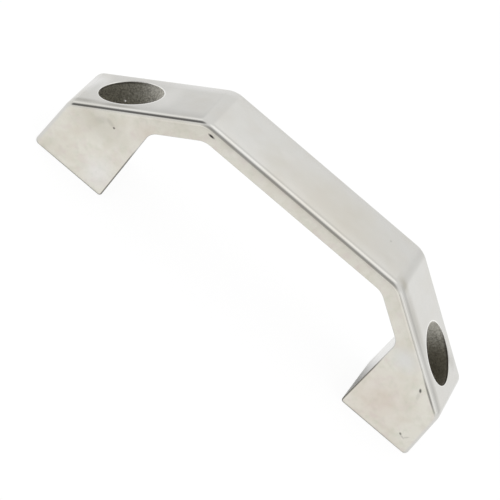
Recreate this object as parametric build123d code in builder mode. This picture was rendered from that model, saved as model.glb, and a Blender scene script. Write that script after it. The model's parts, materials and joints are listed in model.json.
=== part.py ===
from build123d import *
import os
from math import atan2, radians, sin, tan

# Bridge pull handle for a door, drawer or machine cover: one investment casting in stainless steel.
# Three flats, a level grip between two sloping arms, end in block feet that sit flat on the panel.
# Each foot is screwed down from outside through an upright counterbored hole that opens, as an oval,
# in the sloping face of the arm. Millimetres, +Z away from the panel, +X along the grip, front at -Y.
# Origin: on the panel, midway between the two screws. Both ends are alike.

# screws and their holes
screw_spacing = 120.0     # centre to centre of the two screws
screw_hole_d = 9.0        # clearance for M8
counterbore_d = 16.0      # room for the 13 mm head of an M8 socket-head screw
clamp_thickness = 10.0    # metal under the screw head

# outline seen from the side
width = 24.0              # across the handle, the same from foot to grip
height = 46.0             # panel to the top of the grip
grip_length = 73.5        # between the two outer bends
grip_thickness = 5.9
arm_thickness = 6.6       # square to the sloping face
foot_outward = 13.8       # screw centre to the outer end of the foot, at the panel
foot_inward = 12.3        # screw centre to the inner side of the foot, at the panel and in front
end_height = 19.0         # panel to the lower edge of the sloping face
end_draft = 4.0           # degrees that the outer end leans in as it rises
inner_draft = 0.5         # degrees that the inner side leans in as it rises
core_draft = 3.0          # degrees that the inner sides spread apart towards the back, for the core to leave

# roundings
ridge_radius = 2.0        # round the outer faces: both long edges, the shoulders and down the outer ends
edge_radius = 0.5         # every other outer edge
mouth_radius = 0.5        # rim of the counterbore
outer_bend_radius = 8.0
inner_bend_radius = 6.0
crook_radius = 4.5        # under the arm, where it meets the foot
heel_radius = 1.0         # inner lower corner of the foot

# places on the right-hand half of the outline, worked out from the sizes above
end_x = screw_spacing / 2 + foot_outward
inner_x = screw_spacing / 2 - foot_inward
shoulder = Vector(end_x - end_height * tan(radians(end_draft)), end_height)
outer_bend = Vector(grip_length / 2, height)
arm_slope = atan2(height - end_height, shoulder.X - outer_bend.X)
underside = height - grip_thickness


def arm_underside_x(z):
    """Half-length reached by the underside of the arm at height z."""
    below_bend = height - z
    return outer_bend.X + below_bend / tan(arm_slope) - arm_thickness / sin(arm_slope)


inner_bend = Vector(arm_underside_x(underside), underside)
lean = tan(radians(inner_draft))
crook_z = (arm_underside_x(0) - inner_x) / (1 / tan(arm_slope) - lean)
crook = Vector(inner_x - crook_z * lean, crook_z)

outline = [
    (end_x, 0),
    (shoulder.X, shoulder.Y),
    (outer_bend.X, outer_bend.Y),
    (-outer_bend.X, outer_bend.Y),
    (-shoulder.X, shoulder.Y),
    (-end_x, 0),
    (-inner_x, 0),
    (-crook.X, crook.Y),
    (-inner_bend.X, inner_bend.Y),
    (inner_bend.X, inner_bend.Y),
    (crook.X, crook.Y),
    (inner_x, 0),
]


nothing = 0.01            # lengths and shares of a direction below this count as none


def corners_at(sketch, half_length):
    """The two mirrored corners of the outline that lie half_length from the middle."""
    return [v for v in sketch.vertices() if abs(abs(v.X) - half_length) < nothing]


def on_long_side(edge):
    """True for an edge that lies in one of the two long sides."""
    return abs(abs(edge.center().Y) - width / 2) < nothing


def goes_across(face):
    """True for a face that runs straight across from one long side to the other."""
    return abs(face.normal_at().Y) < nothing


def looks_inward(face):
    """True for the inner sides of the two feet, which face each other."""
    return face.center().X * face.normal_at().X < 0 and abs(face.normal_at().X) > 0.9


def edges_across(face):
    """The edges of a face that run from one long side to the other, lowest first."""
    return face.edges().filter_by(on_long_side, reverse=True).sort_by(Axis.Z)


def beyond_screws(edge):
    """True for an edge that lies further out than the screws."""
    return abs(edge.center().X) > screw_spacing / 2


def looks_outward(face):
    """True for the outer faces of the arms and the grip, bends included: none is steeper than 60 degrees."""
    return face.normal_at().Z > 0.5


with BuildPart() as handle:
    # the bridge: outline with its bends, pushed out to both long sides
    with BuildSketch(Plane.XZ) as side_view:
        with BuildLine():
            Polyline(*outline, close=True)
        make_face()
        fillet(corners_at(side_view, outer_bend.X), outer_bend_radius)
        fillet(corners_at(side_view, inner_bend.X), inner_bend_radius)
    extrude(amount=width / 2, both=True)

    # the inner sides of the feet are drafted from the front, then rounded into the arms and at the heels
    draft(handle.faces().filter_by(looks_inward), Plane.ZX.offset(-width / 2), core_draft)
    fillet([edges_across(side)[-1] for side in handle.faces().filter_by(looks_inward)], crook_radius)
    fillet([edges_across(side)[0] for side in handle.faces().filter_by(looks_inward)], heel_radius)

    # large rounding all round the outer faces: along the arms and the grip, over the shoulders, down the ends
    outer_faces = handle.faces().filter_by(looks_outward)
    outer_ends = handle.faces().group_by(Axis.X)[0] + handle.faces().group_by(Axis.X)[-1]
    long_edges = (outer_faces.edges() + outer_ends.edges()).filter_by(on_long_side)
    shoulder_edges = [edges_across(end)[-1] for end in outer_ends]
    fillet(long_edges + shoulder_edges, ridge_radius)

    # every other outer edge is broken: along the underside and round the outer ends of both soles
    lower_faces = handle.faces().filter_by(goes_across).filter_by(looks_outward, reverse=True)
    sole_edges = handle.faces().group_by(Axis.Z)[0].edges().filter_by(on_long_side, reverse=True)
    fillet(lower_faces.edges().filter_by(on_long_side) + sole_edges.filter_by(beyond_screws), edge_radius)

    # upright counterbored screw holes, started above the grip so that they clear the whole arm
    with Locations((-screw_spacing / 2, 0, height), (screw_spacing / 2, 0, height)):
        CounterBoreHole(screw_hole_d / 2, counterbore_d / 2, height - clamp_thickness)
    fillet(handle.edges().filter_by(GeomType.ELLIPSE), mouth_radius)

handle.part.label = "handle"

os.makedirs("parts", exist_ok=True)
export_step(handle.part, "parts/handle.step")
print(f"handle: {handle.part.volume:.0f} cubic mm, size {handle.part.bounding_box().size}")
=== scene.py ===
import json
from math import acos, atan2, cos, exp, log, pi, radians, sin, sqrt, tan

import bmesh
import bpy
from mathutils import Matrix, Vector, noise


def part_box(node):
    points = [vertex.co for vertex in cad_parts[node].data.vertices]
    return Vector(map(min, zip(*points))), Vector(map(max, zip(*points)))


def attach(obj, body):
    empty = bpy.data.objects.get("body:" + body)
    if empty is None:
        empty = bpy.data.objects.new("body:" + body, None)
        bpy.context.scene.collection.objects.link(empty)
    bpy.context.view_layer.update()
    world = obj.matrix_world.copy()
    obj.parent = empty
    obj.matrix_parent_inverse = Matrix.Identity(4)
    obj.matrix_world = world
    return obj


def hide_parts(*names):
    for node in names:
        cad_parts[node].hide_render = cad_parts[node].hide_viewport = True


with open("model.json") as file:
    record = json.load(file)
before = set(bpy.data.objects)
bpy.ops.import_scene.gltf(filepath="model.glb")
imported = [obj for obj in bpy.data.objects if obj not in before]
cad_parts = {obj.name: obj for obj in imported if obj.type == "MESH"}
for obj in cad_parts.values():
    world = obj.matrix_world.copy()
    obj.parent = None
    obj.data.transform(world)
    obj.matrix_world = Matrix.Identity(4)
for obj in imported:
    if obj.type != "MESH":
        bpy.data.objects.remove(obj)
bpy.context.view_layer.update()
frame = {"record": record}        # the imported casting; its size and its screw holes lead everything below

mounts = {m["name"]: m for m in frame["record"]["mounts"]}
mm = 0.001
print("frame loaded")


def toLinear(hexCode):
    # the numbers are those of the sRGB curve
    shares = [int(hexCode[i:i + 2], 16) / 255 for i in (1, 3, 5)]
    return [*[s / 12.92 if s < 0.04045 else ((s + 0.055) / 1.055) ** 2.4 for s in shares], 1]


def addNode(tree, kind, settings=None, links=None):
    # settings in lower case are the node's own, the others and the numbers are its sockets
    node = tree.nodes.new(kind)
    for name, value in (settings or {}).items():
        if isinstance(name, str) and name[0].islower():
            setattr(node, name, value)
        else:
            node.inputs[name].default_value = value
    for name, source in (links or {}).items():
        tree.links.new(source, node.inputs[name])
    return node


# the casting, in millimetres and degrees
casting = {
    "gripLength": 73.5,       # between the outer bends
    "gripThickness": 5.9,
    "armThickness": 6.6,
    "footOutward": 13.8,      # from the screw's centre to the outer end of the foot
    "footInward": 12.3,       # from the screw's centre to the inner side of the foot, in front
    "endHeight": 19.0,        # of the outer end, up to the shoulder
    "endDraft": 4.0,          # how far the outer ends lean in
    "innerDraft": 0.5,        # and the inner sides
    "coreDraft": 3.0,         # the inner sides spread apart towards the back
    "shoulder": 4.0,          # roundings of the side view; the belt left the shoulders this soft
    "outerBend": 8.0,
    "innerBend": 6.0,
    "crook": 4.5,
    "heel": 1.0,
    "sharpest": 0.12,         # no corner is left tighter than this
    "ridge": 2.0,             # rounding along both edges of the outer faces
    "edge": 0.5,              # rounding of every other edge
    "ridgeSides": range(0, 5),    # the outer faces among the outline's sides: end, arm, grip, arm, end
    "beltSides": range(1, 4),     # the belt crowns the arms and the grip most
    "crown": 0.14,            # it takes them down by this much where their front ridges start
    "crownLess": 0.02,        # and all the outer faces by this much along the back and at the ends
    "crownReach": 1.3,        # how far in from the ridge that fades
    "ease": 0.08,             # it eases the long sides by this much just below the ridges
    "easeReach": 1.0,
    "easeSteps": 6,           # rings of points on the eased part, the ridge and the rest of the width
    "ridgeSteps": 14,
    "acrossSteps": 12,
    "easeEnd": 2.2,           # the ease is followed out for this many times its reach
    "cornerSteps": 12,        # points round each rounding of the side view
}

# the screw holes, in millimetres and degrees
holes = {
    "steps": 200,             # points round each hole
    "rim": 0.3,               # polished rounding of the mouth
    "rimSteps": 7,
    "rimShare": 0.9,          # the rounding meets the arm a little before it is level with it
    "wallRows": 96,
    "boreRows": 10,
    "grain": 0.05,            # the as-cast skin: height of its lumps, and how far apart they are
    "grainSize": 1.1,
    "wave": 0.09,
    "waveSize": 5.0,
    "rimClear": 1.2,          # the skin is at its full height this far below the rim
    "bead": (-60.7, 7.97, 18.7),  # a bead of metal left on the wall of the left-hand hole
    "beadHeight": 0.6,
    "beadSize": 0.36,
    "clear": 3.0,             # the drill starts above the grip and ends below the panel by this much
    "weld": 0.0001,           # edges that the drill leaves shorter than this close up
    "sharpAngle": 50,         # edges sharper than this stay crisp
}


def outlineCorners(c, height, screwX, inward):
    # the side view as (corner, rounding), from the right-hand end over the top and back underneath
    endX = screwX + c["footOutward"]
    innerX = screwX - inward
    shoulder = Vector((endX - c["endHeight"] * tan(radians(c["endDraft"])), c["endHeight"]))
    bend = Vector((c["gripLength"] / 2, height))
    slope = atan2(bend.y - shoulder.y, shoulder.x - bend.x)
    under = height - c["gripThickness"]
    lean = tan(radians(c["innerDraft"]))
    underArm = lambda z: bend.x + (height - z) / tan(slope) - c["armThickness"] / sin(slope)
    crookZ = (underArm(0) - innerX) / (1 / tan(slope) - lean)
    outer = [(Vector((endX, 0)), c["edge"]), (shoulder, c["shoulder"]), (bend, c["outerBend"])]
    inner = [
        (Vector((underArm(under), under)), c["innerBend"]),
        (Vector((innerX - crookZ * lean, crookZ)), c["crook"]),
        (Vector((innerX, 0)), c["heel"]),
    ]
    mirrored = lambda half: [(Vector((-p.x, p.y)), radius) for p, radius in reversed(half)]
    return outer + mirrored(outer) + mirrored(inner) + inner, slope


def edgeInset(c, depth):
    return c["edge"] - sqrt(c["edge"] ** 2 - max(c["edge"] - depth, 0) ** 2)


def ridgeInset(c, depth, crown):
    # down from the crowned outer face, round the ridge and out onto the eased long side
    low = atan2(c["ease"], c["easeReach"])
    high = atan2(crown, c["crownReach"])
    arcEnd = c["ease"] + c["ridge"] * (cos(low) - sin(high))
    if depth > arcEnd:
        return crown * exp((arcEnd - depth) / c["crownReach"])
    if depth > c["ease"]:
        left = cos(low) - (depth - c["ease"]) / c["ridge"]
        return crown + c["ridge"] * (cos(high) - sqrt(1 - left ** 2))
    return crown + c["ridge"] * (cos(high) - sin(low)) + c["easeReach"] * log(c["ease"] / depth)


def outlineRing(c, corners, depth, crown):
    # the outline where it stands this deep inside the long side
    lines = []
    for i, (start, _) in enumerate(corners):
        end = corners[(i + 1) % len(corners)][0]
        along = (end - start).normalized()
        inwards = Vector((-along.y, along.x))
        if i in c["ridgeSides"]:
            moved = ridgeInset(c, depth, crown if i in c["beltSides"] else c["crownLess"])
        else:
            moved = edgeInset(c, depth)
        lines.append((start + inwards * moved, along, inwards, moved))
    points = []
    for i, (_, radius) in enumerate(corners):
        start, before, inwards, movedBefore = lines[i - 1]
        end, after, _, movedAfter = lines[i]
        corner = start + before * ((end - start).cross(after) / before.cross(after))
        turn = acos(min(1, before.dot(after)))
        bulge = 1 if before.cross(after) > 0 else -1
        r = max(radius - bulge * min(movedBefore, movedAfter), c["sharpest"])
        centre = corner - before * r * tan(turn / 2) + inwards * bulge * r
        for k in range(c["cornerSteps"] + 1):
            t = bulge * turn * k / c["cornerSteps"]
            x = inwards.x * cos(t) - inwards.y * sin(t)
            y = inwards.x * sin(t) + inwards.y * cos(t)
            points.append(centre - Vector((x, y)) * bulge * r)
    return points


def toObject(bm, name):
    mesh = bpy.data.meshes.new(name)
    bm.to_mesh(mesh)
    bm.free()
    made = bpy.data.objects.new(name, mesh)
    bpy.context.scene.collection.objects.link(made)
    return made


def settle(made):
    # the modifiers become the mesh
    depsgraph = bpy.context.evaluated_depsgraph_get()
    made.data = bpy.data.meshes.new_from_object(made.evaluated_get(depsgraph), depsgraph=depsgraph)
    made.modifiers.clear()


def makeBody(c, width, height, screwX):
    # rings of the outline stand close together on the roundings, and wider apart towards the middle
    half = width / 2
    flat = c["ease"] + c["ridge"]
    depths = [c["ease"] * exp(-c["easeEnd"] * k / c["easeSteps"]) for k in range(1, c["easeSteps"] + 1)]
    for k in range(c["ridgeSteps"] + 1):
        depths.append(c["ease"] + c["ridge"] * (1 - sin(pi / 2 * k / c["ridgeSteps"])))
    for k in range(1, c["acrossSteps"] + 1):
        depths.append(flat + (half - flat) * (k / c["acrossSteps"]) ** 2)
    depths.append(c["edge"])
    bm = bmesh.new()
    rings = []
    for y in sorted({round(side * (half - depth), 6) for depth in depths for side in (-1, 1)}):
        inward = c["footInward"] - (y + half) * tan(radians(c["coreDraft"]))
        corners, slope = outlineCorners(c, height, screwX, inward)
        points = outlineRing(c, corners, half - abs(y), c["crown"] if y < 0 else c["crownLess"])
        rings.append([bm.verts.new((p.x * mm, y * mm, p.y * mm)) for p in points])
    for a, b in zip(rings, rings[1:]):
        for k in range(len(a)):
            bm.faces.new((a[k - 1], b[k - 1], b[k], a[k]))
    bm.faces.new(rings[0])
    bm.faces.new(rings[-1])
    bmesh.ops.recalc_face_normals(bm, faces=bm.faces)
    print("casting outlined,", len(bm.verts), "points")
    return toObject(bm, "castHandle"), slope


def castSkin(h, place, radius, below):
    # the wall's radius with the lumps of the casting skin, which fade out just below the rim
    fade = min(max(below / h["rimClear"], 0), 1)
    grain = h["grain"] * noise.noise(place / h["grainSize"])
    wave = h["wave"] * noise.noise(place / h["waveSize"])
    bead = h["beadHeight"] * exp(-((place - Vector(h["bead"])).length / h["beadSize"]) ** 2)
    return radius + (grain + wave) * fade ** 2 * (3 - 2 * fade) - bead


def makeDrill(h, side, screwX, boreRadius, counterRadius, seat, height, faceAtAxis, slope):
    # everything that one hole takes out of the casting: bore, seat, counterbore and its rounded mouth
    bm = bmesh.new()
    start = -h["clear"]
    rings = []
    for k in range(h["steps"]):
        around = 2 * pi * k / h["steps"]
        ray = Vector((cos(around), sin(around), 0))
        rise = -side * ray.x * tan(slope)          # of the arm's face, going out from the axis
        level = sqrt(1 + rise ** 2)
        centreZ = faceAtAxis + rise * (counterRadius + h["rim"]) - h["rim"] * level

        # the profile as (radius, height, depth below the rim where there is skin)
        profile = []
        for i in range(h["boreRows"] + 1):
            profile.append((boreRadius, start + (seat - start) * i / h["boreRows"], 0))
        for i in range(h["wallRows"] + 1):
            z = seat + (centreZ - seat) * i / h["wallRows"]
            profile.append((counterRadius, z, centreZ - z))
        sweep = pi - atan2(1, -rise)
        for i in range(1, h["rimSteps"] + 1):
            t = pi - sweep * h["rimShare"] * i / h["rimSteps"]
            profile.append((counterRadius + h["rim"] * (1 + cos(t)), centreZ + h["rim"] * sin(t), 0))
        r, z, _ = profile[-1]
        profile.append((r + h["rim"] * sin(t), z - h["rim"] * cos(t), 0))
        profile.append((profile[-1][0], height + h["clear"], 0))

        ring = []
        for r, z, below in profile:
            centre = Vector((side * screwX, 0, z))
            ring.append(bm.verts.new((centre + ray * castSkin(h, centre + ray * r, r, below)) * mm))
        rings.append(ring)
    firstOfRim = h["boreRows"] + 1 + h["wallRows"]
    for a, b in zip(rings, rings[1:] + rings[:1]):
        for i in range(len(a) - 1):
            face = bm.faces.new((a[i], b[i], b[i + 1], a[i + 1]))
            face.material_index = 1 if i < firstOfRim else 0      # as cast inside, satin from the rim on
    bm.faces.new([ring[0] for ring in rings])
    bm.faces.new([ring[-1] for ring in rings])
    bmesh.ops.recalc_face_normals(bm, faces=bm.faces)
    return toObject(bm, "drill")


def drillOut(h, body, drills):
    for drill in drills:
        cut = body.modifiers.new("cut", "BOOLEAN")
        cut.object = drill
        cut.operation = "DIFFERENCE"
        cut.solver = "EXACT"
    settle(body)
    for drill in drills:
        bpy.data.objects.remove(drill)
    bm = bmesh.new()
    bm.from_mesh(body.data)
    bmesh.ops.dissolve_degenerate(bm, dist=h["weld"] * mm, edges=bm.edges)
    for face in bm.faces:
        face.smooth = True
    for e in bm.edges:
        e.smooth = not (e.is_manifold and e.calc_face_angle() > radians(h["sharpAngle"]))
    bm.to_mesh(body.data)
    bm.free()
    body.modifiers.new("flats", "WEIGHTED_NORMAL").keep_sharp = True
    settle(body)


# satin stainless casting, belt ground and tumbled: a soft, slightly warm mirror with faint cloudy stains
# sizes are in mm; where a colour has a pair of values, it starts at the first and is full at the second;
# facing is a component of the surface's normal
satin = {
    "colour": "#D6D5D1",
    "sideTintAndLight": "#E1DED4",      # the flat long sides are a shade warmer, and a shade lighter as painted light
    "sideFacing": (0.8, 0.98),    # along Y
    "roughness": (0.1, 0.16),     # of the smoothest places and the roughest
    "roughSpread": (0.3, 0.7),    # the noise's values there
    "roughSize": 4.0,
    "grainSize": 0.35,            # coarser than the real tumbled grain so that it shows
    "grainHeight": 0.003,
    "waveSize": 8.0,              # the belt's hand-held unevenness
    "waveHeight": 0.03,
    "edgeShadeColour": "#8F8C84",      # painted shade: the small edges underneath are painted darker
    "edgeFacing": (0.06, 0.16),   # along Y
    "underFacing": (-0.05, -0.3),     # down, or towards the other foot
    "edgeTop": (23, 18),          # height
    "rimHighlightColour": "#F6F5F2",       # painted highlight: the mouths of the holes are painted bright
    "rimFacing": (0.0, 0.1),      # up
    "rimReach": (8.45, 8.2),      # from a centre a little in front of the screw's
    "rimForward": 0.22,

    # faint tarnish clouds: colour, size, how much of the surface they leave free, and their strength on the
    # outer faces and on the long sides
    "clouds": [
        ("#BFB49C", 9.0, 0.45, (0.14, 0.12)),
        ("#C9BFAF", 4.5, 0.48, (0.0, 0.3)),
        ("#D6C9C6", 3.0, 0.5, (0.08, 0.55)),
        ("#CBCEBE", 2.2, 0.5, (0.08, 0.5)),
        ("#F1EFEB", 6.0, 0.52, (0.1, 0.3)),
    ],
    "cloudSoft": 0.3,             # width of their soft borders, in the noise's values

    # larger stains, and patches of painted shade and painted highlight along the ridges and at the left
    # shoulder: where, half sizes, turn in degrees, colour, strength
    "stainsAndPaintedLight": [
        ((-62.0, -12, 21.0), (13.0, 4, 7.5), 0, "#B4AFA0", 0.35),
        ((-47.5, -12, 28.5), (8.0, 4, 5.0), 0, "#C7AFA2", 0.2),
        ((-52.5, -12, 6.5), (6.0, 4, 7.0), 0, "#EBEAEC", 0.4),
        ((-43.5, -12, 37.0), (14.0, 4, 6.0), -37, "#B7AF9E", 0.16),
        ((55.5, -12, 10.0), (13.0, 4, 12.0), 0, "#C4A79A", 0.21),
        ((52.8, -12, 27.2), (6.0, 4, 5.5), 0, "#DCDEDF", 0.5),
        # painted shade beside the right arm's front ridge
        ((48.0, -8.8, 37.5), (17.0, 2.4, 3), 37, "#A8A59C", 0.45),
        # painted shade at the right-hand bend, beside the front ridge
        ((37.6, -8.6, 45.2), (3.5, 2.6, 3), 0, "#A0977F", 0.32),
        ((8.0, -5.0, 46.0), (32.0, 14.0, 3), 0, "#C6B796", 0.2),
        ((-50.5, 0.0, 35.6), (4.5, 9.0, 4.5), 0, "#F4F3F0", 0.25),
        # painted highlight on the left shoulder
        ((-70.5, 4.0, 20.8), (5.0, 8.0, 3.5), 0, "#FFFFFF", 0.45),
        ((-69.6, 1.0, 21.1), (1.5, 5.5, 2.5), 0, "#A8A89E", 0.22),
        ((66.0, 7.6, 23.7), (4.0, 2.8, 3.5), 0, "#A8A69E", 0.35),
        # painted shade beside the right arm's front ridge, at its lower end
        ((66.0, -9.4, 23.8), (10.0, 1.2, 2.5), 37, "#A8A59C", 0.35),
        # these two: painted shade beside the left arm's front ridge
        ((-69.3, -8.8, 21.4), (6.5, 1.4, 2.5), -37, "#9E9B92", 0.5),
        ((-60.5, -9.5, 28.1), (8.0, 1.1, 2.5), -37, "#9E9B92", 0.6),
        # painted highlight beside the left arm's back ridge
        ((-44.0, 9.5, 40.5), (18.0, 3.0, 3), -37, "#FFFFFF", 0.3),
    ],
    "stainAndLightSoft": 0.8,             # share of each stain or painted patch that is its soft border

    # small pits and scratches, and one line of painted shade under the right arm's front ridge: where, half
    # sizes, turn in degrees, how dark
    "marksAndShadeLine": [
        ((-56.8, -12.0, 22.9), (0.5, 1, 0.4), 0, 0.85),
        ((-61.0, -12.0, 22.4), (3.6, 1, 1.6), -42, 0.07),
        ((-58.4, -12.0, 23.5), (2.0, 1, 0.9), 15, 0.12),
        ((-33.1, -12.0, 43.2), (1.4, 1, 0.5), 0, 1.0),
        ((62.5, -12.0, 22.2), (1.0, 1, 0.5), 57, 0.85),
        ((63.2, -12.0, 20.1), (1.9, 1, 0.7), 70, 0.12),
        ((67.7, -12.0, 5.2), (0.6, 1, 0.45), 30, 0.7),
        ((68.7, -12.0, 4.7), (1.2, 1, 0.4), 15, 0.22),
        ((69.8, -12.0, 5.5), (1.3, 1, 0.4), -55, 0.2),
        # a line of painted shade under the right arm's front ridge
        ((65.6, -12.0, 22.5), (8.5, 1, 0.4), 37, 0.6),
        ((26.9, 3.0, 46.0), (0.3, 0.3, 0.3), 0, 0.5),
    ],
    "markAndShadeColour": "#3A3936",
    "markSoft": 0.6,              # the same share of a mark
}

# as-cast stainless inside the holes: dull grey and sandy to the touch; sizes and pairs are as for the satin
asCast = {
    "darkColour": "#B1AEA5",
    "colour": "#E3E1D9",
    "colourSpread": (0.35, 0.65),     # the grain's values, from the dark colour to the other
    "roughness": 0.62,
    "grainSize": 0.55,
    "grainHeight": 0.045,
    "holeShadeColour": "#8A8474",      # painted shade low in the right-hand hole
    "holeShade": (63.5, 7.5, 19.5),
    "holeShadeSizes": (9, 9, 9),
    "holeShadeStrength": 0.6,
    "holeShadeSoft": 0.6,
    "mouthShadeColour": "#5F5C55",      # painted shade: a dark band runs round just below the mouth
    "mouthShadeStrength": 0.7,
    "mouthShade": (1.2, 0.6),           # under the arm's face
    "mouthShadeSide": (56, 61),         # along X: only the outer half of the mouth has it
    "beadGlintColour": "#FFFFFF",      # the bead of metal is smooth; its white is a painted glint
    "beadRoughness": 0.15,
    "beadReach": 1.6,             # in sizes of the bead
    "beadSoft": 0.4,
}


def startSteel(name):
    mat = bpy.data.materials.new(name)
    mat.use_nodes = True
    tree = mat.node_tree
    shader = tree.nodes["Principled BSDF"]
    shader.inputs["Metallic"].default_value = 1
    place = addNode(tree, "ShaderNodeTexCoord")
    inMm = addNode(tree, "ShaderNodeVectorMath", {"operation": "SCALE", "Scale": 1 / mm},
                   {0: place.outputs["Object"]})
    return mat, tree, shader, inMm.outputs[0]


def addSpot(tree, inMm, place, halfSizes, turn, strength, soft):
    # a soft oval at full strength in its middle, turned downwards to the right
    oval = {"Location": place, "Rotation": (0, radians(turn), 0), "Scale": halfSizes}
    local = addNode(tree, "ShaderNodeMapping", {"vector_type": "TEXTURE", **oval}, {0: inMm})
    spot = addNode(tree, "ShaderNodeTexGradient", {"gradient_type": "SPHERICAL"}, {0: local.outputs[0]})
    return addNode(tree, "ShaderNodeMapRange", {2: soft, 4: strength}, {0: spot.outputs[1]}).outputs[0]


def layColours(tree, base, layers):
    # over the base colour, each layer's colour covers as much as its share says
    colour = None
    for share, hexCode in layers:
        links = {0: share} if colour is None else {0: share, 6: colour}
        mixed = addNode(tree, "ShaderNodeMix",
                        {"data_type": "RGBA", 6: toLinear(base), 7: toLinear(hexCode)}, links)
        colour = mixed.outputs[2]
    return colour


def makeSatin(s, screwX):
    mat, tree, shader, inMm = startSteel("satinStainless")
    place = addNode(tree, "ShaderNodeSeparateXYZ", links={0: inMm})
    geometry = addNode(tree, "ShaderNodeNewGeometry")
    normal = addNode(tree, "ShaderNodeSeparateXYZ", links={0: geometry.outputs["Normal"]})
    sideways = addNode(tree, "ShaderNodeMath", {"operation": "ABSOLUTE"}, {0: normal.outputs["Y"]})
    sign = addNode(tree, "ShaderNodeMath", {"operation": "SIGN"}, {0: place.outputs["X"]})
    inner = addNode(tree, "ShaderNodeMath", {"operation": "MULTIPLY"},
                    {0: normal.outputs["X"], 1: sign.outputs[0]})
    under = addNode(tree, "ShaderNodeMath", {"operation": "MINIMUM"},
                    {0: normal.outputs["Z"], 1: inner.outputs[0]})

    # both feet fold onto one for the distance from the screw's axis
    aside = addNode(tree, "ShaderNodeMath", {"operation": "ABSOLUTE"}, {0: place.outputs["X"]})
    along = addNode(tree, "ShaderNodeMath", {"operation": "SUBTRACT", 1: screwX}, {0: aside.outputs[0]})
    back = addNode(tree, "ShaderNodeMath", {"operation": "ADD", 1: s["rimForward"]},
                   {0: place.outputs["Y"]})
    fromAxis = addNode(tree, "ShaderNodeCombineXYZ", links={0: along.outputs[0], 1: back.outputs[0]})
    distance = addNode(tree, "ShaderNodeVectorMath", {"operation": "LENGTH"}, {0: fromAxis.outputs[0]})

    measures = {
        "sideFacing": sideways.outputs[0],
        "edgeFacing": sideways.outputs[0],
        "underFacing": under.outputs[0],
        "edgeTop": place.outputs["Z"],
        "rimFacing": normal.outputs["Z"],
        "rimReach": distance.outputs["Value"],
    }
    masks = {}
    for name, measure in measures.items():
        start, full = s[name]
        masks[name] = addNode(tree, "ShaderNodeMapRange", {1: start, 2: full}, {0: measure}).outputs[0]
    underEdge = addNode(tree, "ShaderNodeMath", {"operation": "MULTIPLY"},
                        {0: masks["underFacing"], 1: masks["edgeFacing"]})
    edgeShade = addNode(tree, "ShaderNodeMath", {"operation": "MULTIPLY"},
                     {0: underEdge.outputs[0], 1: masks["edgeTop"]})
    rimHighlight = addNode(tree, "ShaderNodeMath", {"operation": "MULTIPLY"},
                     {0: masks["rimReach"], 1: masks["rimFacing"]})

    # the long sides: a warmer tint, and painted light that makes them lighter
    layers = [(masks["sideFacing"], s["sideTintAndLight"])]
    for i, (hexCode, size, free, (onOuter, onSide)) in enumerate(s["clouds"]):
        cloud = addNode(tree, "ShaderNodeTexNoise",
                        {"noise_dimensions": "4D", "W": i, "Scale": 1 / size, "Detail": 2.0}, {0: inMm})
        most = addNode(tree, "ShaderNodeMapRange", {3: onOuter, 4: onSide}, {0: masks["sideFacing"]})
        share = addNode(tree, "ShaderNodeMapRange", {1: free, 2: free + s["cloudSoft"]},
                        {0: cloud.outputs[0], 4: most.outputs[0]})
        layers.append((share.outputs[0], hexCode))
    # stains, and patches of painted shade and painted highlight
    for where, halfSizes, turn, hexCode, strength in s["stainsAndPaintedLight"]:
        layers.append((addSpot(tree, inMm, where, halfSizes, turn, strength, s["stainAndLightSoft"]), hexCode))
    # painted shade on the small edges underneath, and a painted highlight round the mouths of the holes
    layers += [(edgeShade.outputs[0], s["edgeShadeColour"]), (rimHighlight.outputs[0], s["rimHighlightColour"])]
    # pits and scratches, and a line of painted shade
    for where, halfSizes, turn, dark in s["marksAndShadeLine"]:
        layers.append((addSpot(tree, inMm, where, halfSizes, turn, dark, s["markSoft"]), s["markAndShadeColour"]))
    tree.links.new(layColours(tree, s["colour"], layers), shader.inputs["Base Color"])

    uneven = addNode(tree, "ShaderNodeTexNoise", {"Scale": 1 / s["roughSize"], "Detail": 4.0}, {0: inMm})
    start, full = s["roughSpread"]
    least, most = s["roughness"]
    rough = addNode(tree, "ShaderNodeMapRange", {1: start, 2: full, 3: least, 4: most},
                    {0: uneven.outputs[0]})
    tree.links.new(rough.outputs[0], shader.inputs["Roughness"])

    wave = addNode(tree, "ShaderNodeTexNoise", {"Scale": 1 / s["waveSize"], "Detail": 1.0}, {0: inMm})
    waveBump = addNode(tree, "ShaderNodeBump", {"Distance": s["waveHeight"] * mm},
                       {"Height": wave.outputs[0]})
    grain = addNode(tree, "ShaderNodeTexNoise", {"Scale": 1 / s["grainSize"], "Detail": 2.0}, {0: inMm})
    grainBump = addNode(tree, "ShaderNodeBump", {"Distance": s["grainHeight"] * mm},
                        {"Height": grain.outputs[0], "Normal": waveBump.outputs[0]})
    tree.links.new(grainBump.outputs[0], shader.inputs["Normal"])
    return mat


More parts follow.
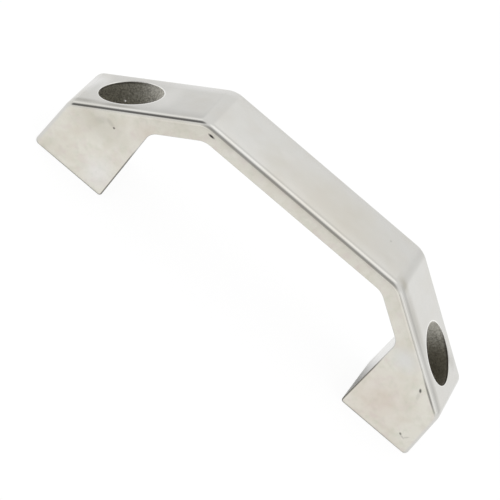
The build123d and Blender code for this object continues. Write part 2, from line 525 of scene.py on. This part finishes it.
def makeAsCast(s, h, slope, faceDistance):
    mat, tree, shader, inMm = startSteel("asCastStainless")
    grain = addNode(tree, "ShaderNodeTexNoise", {"Scale": 1 / s["grainSize"], "Detail": 3.0}, {0: inMm})
    start, full = s["colourSpread"]
    isLight = addNode(tree, "ShaderNodeMapRange", {1: start, 2: full}, {0: grain.outputs[0]})
    # painted shade low in the right-hand hole
    holeShade = addSpot(tree, inMm, s["holeShade"], s["holeShadeSizes"], 0, s["holeShadeStrength"], s["holeShadeSoft"])

    # both arms fold onto one for the distance to the arm's face
    folded = addNode(tree, "ShaderNodeVectorMath", {"operation": "ABSOLUTE"}, {0: inMm})
    rise = addNode(tree, "ShaderNodeVectorMath", {"operation": "DOT_PRODUCT", 1: (sin(slope), 0, cos(slope))},
                   {0: folded.outputs[0]})
    # painted shade just below the mouth, on the outer half
    start, full = s["mouthShade"]
    isClose = addNode(tree, "ShaderNodeMapRange",
                      {1: faceDistance - start, 2: faceDistance - full, 4: s["mouthShadeStrength"]},
                      {0: rise.outputs["Value"]})
    start, full = s["mouthShadeSide"]
    aside = addNode(tree, "ShaderNodeSeparateXYZ", links={0: folded.outputs[0]})
    isOuter = addNode(tree, "ShaderNodeMapRange", {1: start, 2: full}, {0: aside.outputs[0]})
    mouthShade = addNode(tree, "ShaderNodeMath", {"operation": "MULTIPLY"},
                   {0: isClose.outputs[0], 1: isOuter.outputs[0]})

    # the bead: smooth, with a painted glint
    bead = addSpot(tree, inMm, h["bead"], [h["beadSize"] * s["beadReach"]] * 3, 0, 1, s["beadSoft"])
    layers = [(isLight.outputs[0], s["colour"]), (holeShade, s["holeShadeColour"]),
              (mouthShade.outputs[0], s["mouthShadeColour"]), (bead, s["beadGlintColour"])]
    tree.links.new(layColours(tree, s["darkColour"], layers), shader.inputs["Base Color"])
    rough = addNode(tree, "ShaderNodeMapRange", {3: s["roughness"], 4: s["beadRoughness"]}, {0: bead})
    tree.links.new(rough.outputs[0], shader.inputs["Roughness"])
    bump = addNode(tree, "ShaderNodeBump", {"Distance": s["grainHeight"] * mm},
                   {"Height": grain.outputs[0]})
    tree.links.new(bump.outputs[0], shader.inputs["Normal"])
    return mat


def makeHandle(c, h):
    low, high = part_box("handle")
    width, height = (high.y - low.y) / mm, high.z / mm
    bore, counter = mounts["screw_hole_right"]["dims"], mounts["counterbore_right"]["dims"]
    screwX = mounts["screw_hole_right"]["pos_m"][0] / mm
    body, slope = makeBody(c, width, height, screwX)
    bendX = c["gripLength"] / 2
    faceAtAxis = height - (screwX - bendX) * tan(slope)       # height of the arm's face over the screw
    faceDistance = bendX * sin(slope) + height * cos(slope)   # of that face from the origin, square to it
    body.data.materials.append(makeSatin(satin, screwX))
    body.data.materials.append(makeAsCast(asCast, h, slope, faceDistance))
    drills = [makeDrill(h, side, screwX, bore["r_mm"], counter["r_mm"], bore["length_mm"], height,
                        faceAtAxis, slope) for side in (-1, 1)]
    drillOut(h, body, drills)
    print("holes drilled,", len(body.data.polygons), "faces")
    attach(body, "root")
    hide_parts("handle")


makeHandle(casting, holes)

# soft studio: pale all round, with wide soft patches (azimuth from the back towards the right, elevation,
# reach and softness in degrees, and the light that each adds or takes)
studio = {
    "level": 0.92,
    "patches": {
        "above": (180, 80, 2, 24, 0.34),
        "cameraSide": (180, 25, 1, 35, -0.52),
        "rightShade": (143, 3, 0, 8, -0.3),
        "leftShade": (-112, 31, 4, 24, -0.76),
        "leftBack": (-62, 25, 3, 13, 0.2),
        "rightLamp": (120, 21, 0, 16, 0.22),
        "rightBack": (58, 22, 15, 11, -0.14),
        "lowRight": (36, 3, 2, 9, 0.1),
        "highBack": (-2, 41, 0, 11, 0.14),
        "lowLeft": (-38, 11, 0, 7, -0.15),
        "middle": (23, 21, 1, 11, -0.06),
    },
}


def makeWorld(s):
    world = bpy.data.worlds.new("studio")
    bpy.context.scene.world = world
    world.use_nodes = True
    tree = world.node_tree
    background = tree.nodes["Background"]
    background.inputs["Color"].default_value = (1, 1, 1, 1)
    coord = addNode(tree, "ShaderNodeTexCoord")
    level = addNode(tree, "ShaderNodeValue")
    level.outputs[0].default_value = s["level"]
    for azimuth, elevation, reach, soft, amount in s["patches"].values():
        a, e = radians(azimuth), radians(elevation)
        towards = Vector((sin(a) * cos(e), cos(a) * cos(e), sin(e)))
        near = addNode(tree, "ShaderNodeVectorMath", {"operation": "DOT_PRODUCT", 1: towards},
                       {0: coord.outputs["Generated"]})
        share = addNode(tree, "ShaderNodeMapRange", {"interpolation_type": "SMOOTHSTEP", 4: amount,
                                                     1: cos(radians(reach + soft)), 2: cos(radians(reach))},
                        {0: near.outputs["Value"]})
        level = addNode(tree, "ShaderNodeMath", {"operation": "ADD"},
                        {0: level.outputs[0], 1: share.outputs[0]})
    rays = addNode(tree, "ShaderNodeLightPath")
    white = addNode(tree, "ShaderNodeMix", {3: 1.0},
                    {0: rays.outputs["Is Camera Ray"], 2: level.outputs[0]})
    tree.links.new(white.outputs[0], background.inputs["Strength"])


# white paper, as (own light, shade): nearly all its own light for the camera, with a faint shadow; in
# reflections its own light changes along Y, in mm, as painted light and painted shadow: dimmer far in front,
# as if the lamps reached less far there, and a painted shadow under the handle's front
floorPaper = {
    "size": 6.0,                  # m
    "colour": "#F6F5F3",          # of the paper itself, for the light that it scatters
    "roughness": 0.9,
    "seen": (0.9, 0.14),
    "mirrored": {
        -130: (0.56, 0.28),
        -13: (0.79, 0.26),
        -12: (0.03, 0.72),
        2: (0.03, 0.72),
        18: (0.62, 0.4),
    },
    "beyondEnds": (62, 74),       # where along X the light comes back
}


def makePaper(tree):
    glow = addNode(tree, "ShaderNodeEmission")
    shaded = addNode(tree, "ShaderNodeBsdfDiffuse")
    paper = addNode(tree, "ShaderNodeAddShader", links={0: glow.outputs[0], 1: shaded.outputs[0]})
    return paper, glow, shaded


def makeFloor(f):
    bm = bmesh.new()
    bmesh.ops.create_grid(bm, x_segments=1, y_segments=1, size=f["size"] / 2)
    floor = toObject(bm, "floor")
    mat = bpy.data.materials.new("whitePaper")
    mat.use_nodes = True
    tree = mat.node_tree
    plain = tree.nodes["Principled BSDF"]
    plain.inputs["Base Color"].default_value = toLinear(f["colour"])
    plain.inputs["Roughness"].default_value = f["roughness"]

    seen, glow, shaded = makePaper(tree)
    ownLight, shade = f["seen"]
    glow.inputs["Strength"].default_value = ownLight
    shaded.inputs["Color"].default_value = (shade, shade, shade, 1)

    mirrored, glow, shaded = makePaper(tree)
    # painted light and a painted shadow under the handle, seen only in reflections
    front, back = min(f["mirrored"]), max(f["mirrored"])
    geometry = addNode(tree, "ShaderNodeNewGeometry")
    place = addNode(tree, "ShaderNodeSeparateXYZ", links={0: geometry.outputs["Position"]})
    along = addNode(tree, "ShaderNodeMapRange", {1: front * mm, 2: back * mm}, {0: place.outputs["Y"]})
    ramp = addNode(tree, "ShaderNodeValToRGB", links={0: along.outputs[0]})
    stops = ramp.color_ramp.elements
    for y, (ownLight, shade) in f["mirrored"].items():
        if y == front:
            stop = stops[0]
        elif y == back:
            stop = stops[-1]
        else:
            stop = stops.new((y - front) / (back - front))
        stop.color = (ownLight, shade, 0, 1)
    aside = addNode(tree, "ShaderNodeMath", {"operation": "ABSOLUTE"}, {0: place.outputs["X"]})
    start, full = f["beyondEnds"]
    beyond = addNode(tree, "ShaderNodeMapRange", {1: start * mm, 2: full * mm}, {0: aside.outputs[0]})
    light = addNode(tree, "ShaderNodeMix", {"data_type": "RGBA", 7: (*f["mirrored"][back], 0, 1)},
                    {0: beyond.outputs[0], 6: ramp.outputs[0]})
    parts = addNode(tree, "ShaderNodeSeparateColor", links={0: light.outputs[2]})
    tree.links.new(parts.outputs[0], glow.inputs["Strength"])
    tree.links.new(parts.outputs[1], shaded.inputs["Color"])

    rays = addNode(tree, "ShaderNodeLightPath")
    papers = {"Is Glossy Ray": mirrored, "Is Transmission Ray": mirrored, "Is Camera Ray": seen}
    surface = plain
    for ray, paper in papers.items():
        surface = addNode(tree, "ShaderNodeMixShader",
                          links={0: rays.outputs[ray], 1: surface.outputs[0], 2: paper.outputs[0]})
    tree.links.new(surface.outputs[0], tree.nodes["Material Output"].inputs["Surface"])
    floor.data.materials.append(mat)


makeWorld(studio)
makeFloor(floorPaper)

# camera above the front, a little to the left, rolled so that the handle runs down to the right
view = {
    "eye": (-19.388, -470.982, 358.658),      # mm
    "azimuth": 2.042,             # degrees; it looks back, and this much towards the right
    "elevation": -36.31,
    "roll": 41.566,
    "lens": 138.8,                # mm, on a sensor this wide
    "sensor": 36,
    "farthest": 20,               # m
}


def makeCamera(v):
    lens = bpy.data.cameras.new("camera")
    lens.sensor_width = v["sensor"]
    lens.lens = v["lens"]
    lens.clip_end = v["farthest"]
    camera = bpy.data.objects.new("camera", lens)
    bpy.context.scene.collection.objects.link(camera)
    camera.matrix_world = Matrix.Translation(Vector(v["eye"]) * mm)
    for turn, axis in ((-v["azimuth"], "Z"), (90 + v["elevation"], "X"), (v["roll"], "Z")):
        camera.matrix_world @= Matrix.Rotation(radians(turn), 4, axis)
    bpy.context.scene.camera = camera


makeCamera(view)
bpy.context.scene.view_settings.view_transform = "Standard"
print("studio set")
